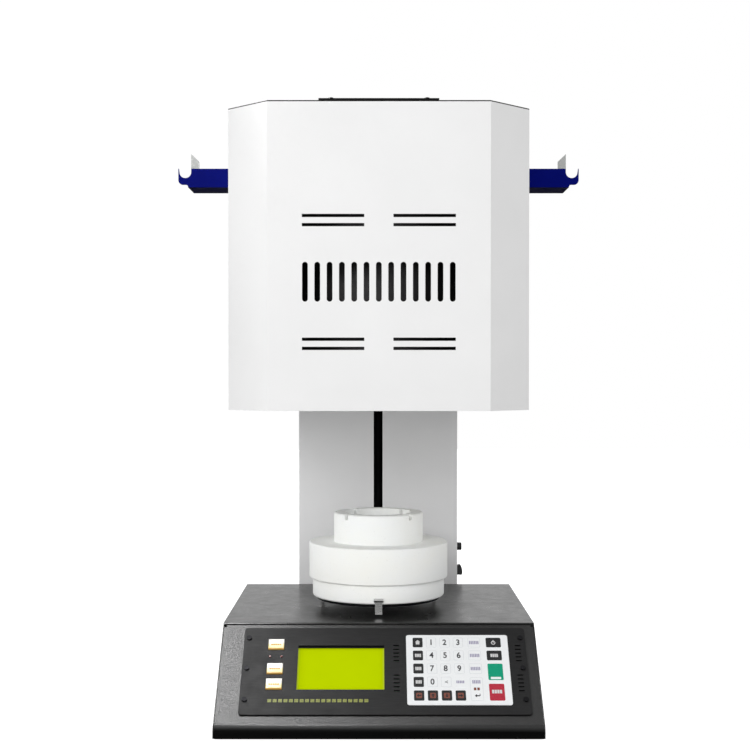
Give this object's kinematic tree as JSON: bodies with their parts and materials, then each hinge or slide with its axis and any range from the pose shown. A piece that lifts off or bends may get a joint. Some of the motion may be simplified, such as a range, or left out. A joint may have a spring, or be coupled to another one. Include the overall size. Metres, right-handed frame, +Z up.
{
  "type": "dental sintering furnace",
  "caption": "Bottom-loading sintering furnace: a ceramic hearth rides on a screw-driven arm up into an insulated hood carried by a rear column on a sloped control base.",
  "frame": {"origin": "floor level under the middle of the furnace's whole box", "axes": "+Z up, -Y towards the operator (the control panel's side), +X to the operator's right"},
  "size_m": [0.5418, 0.537, 0.7825],
  "materials": {
    "white_paint": "semi-gloss white powder coat",
    "grey_paint": "fine-textured light grey powder coat",
    "black_paint": "wrinkled near-black powder coat",
    "fascia_black": "matte dark grey",
    "keypad_film": "satin printed film",
    "screen_green": "backlit yellow-green glass",
    "button_lens": "translucent ivory and amber",
    "lens_red": "small unlit lens",
    "rubber": "matte",
    "steel": "brushed",
    "zinc_steel": "zinc plated",
    "aluminium": "machined",
    "bronze": "machined",
    "copper_wire": "varnished winding",
    "core_steel": "laminated, varnished",
    "refractory": "matte off-white, slightly porous",
    "fibre": "matte fibre board",
    "element_dark": "dark grey, glassy",
    "navy_paint": "semi-gloss navy blue",
    "board_green": "solder mask",
    "black_plastic": "fine texture"
  },
  "bodies": {
    "chassis": {"base_tray": "zinc_steel", "rubber_feet": "rubber", "base_cover": "black_paint", "base_front_panel": "black_paint", "base_rear_panel": "black_paint", "fan_frame": "black_plastic", "fascia_plate": "fascia_black", "fascia_screws": "black_plastic", "lcd_screen": "screen_green", "keypad_overlay": "keypad_film", "indicator_lenses": "lens_red", "button_switches": "black_plastic", "control_board": "board_green", "transformer_core": "core_steel", "transformer_coils": "copper_wire", "power_controller": "aluminium", "column_cover": "grey_paint", "column_rear_cover": "grey_paint", "mains_inlet": "black_plastic", "column_posts": "zinc_steel", "lower_bearing_block": "aluminium", "upper_bearing_block": "aluminium", "screw_bearings": "steel", "guide_rails": "steel", "limit_switches": "black_plastic", "lift_motor": "core_steel", "hood_front_panel": "white_paint", "hood_side_left": "white_paint", "hood_side_right": "white_paint", "hood_rear_panel": "white_paint", "hood_bottom_plate": "steel", "hood_top_cover": "black_paint", "terminal_cover": "black_paint", "muffle_casing": "steel", "muffle_insulation": "fibre", "muffle_roof": "fibre", "heating_elements": "element_dark", "element_clamps": "aluminium", "thermocouple": "refractory", "side_arm_left": "navy_paint", "side_arm_right": "navy_paint", "arm_fences": "steel", "switch_bezel": "black_plastic", "fuse_holder": "black_plastic"},
    "lift": {"lift_carriage": "aluminium", "carriage_bushings": "steel", "lift_nut": "bronze", "lift_arm": "zinc_steel", "hearth_table": "steel", "hearth_clips": "steel", "hearth_base_disc": "refractory", "hearth_plug_disc": "refractory", "hearth_ring": "refractory"},
    "screw": {"lead_screw": "steel", "shaft_coupling": "aluminium"},
    "rocker": {"power_rocker": "black_plastic"},
    "top_button": {"button_top": "button_lens"},
    "middle_button": {"button_middle": "button_lens"},
    "bottom_button": {"button_bottom": "button_lens"},
    "fan": {"fan_rotor": "black_plastic"}
  },
  "joints": [
    {"name": "lift_slide", "type": "slide", "parent": "chassis", "child": "lift", "axis": [0, 0, 1], "range_m": [0, 0.231]},
    {"name": "screw_turn", "type": "hinge", "parent": "chassis", "child": "screw", "pos_m": [0, 0.2135, 0.3], "axis": [0, 0, 1], "range_deg": [-8320, 0]},
    {"name": "power_switch", "type": "hinge", "parent": "chassis", "child": "rocker", "pos_m": [0.1205, 0.2015, 0.1378], "axis": [0, 1, 0], "range_deg": [0, 22]},
    {"name": "press_top", "type": "slide", "parent": "chassis", "child": "top_button", "axis": [0, 0.6585, -0.7526], "range_m": [0, 0.0015], "stiffness_N_per_m": 500, "springref_m": -0.0008},
    {"name": "press_middle", "type": "slide", "parent": "chassis", "child": "middle_button", "axis": [0, 0.6585, -0.7526], "range_m": [0, 0.0015], "stiffness_N_per_m": 500, "springref_m": -0.0008},
    {"name": "press_bottom", "type": "slide", "parent": "chassis", "child": "bottom_button", "axis": [0, 0.6585, -0.7526], "range_m": [0, 0.0015], "stiffness_N_per_m": 500, "springref_m": -0.0008},
    {"name": "fan_spin", "type": "hinge", "parent": "chassis", "child": "fan", "pos_m": [-0.16025, 0.158, 0.062], "axis": [0, 1, 0], "continuous": true}
  ],
  "couplings": [
    {"joint": "screw_turn", "follows": "lift_slide", "rad_per_m": -628.32}
  ]
}
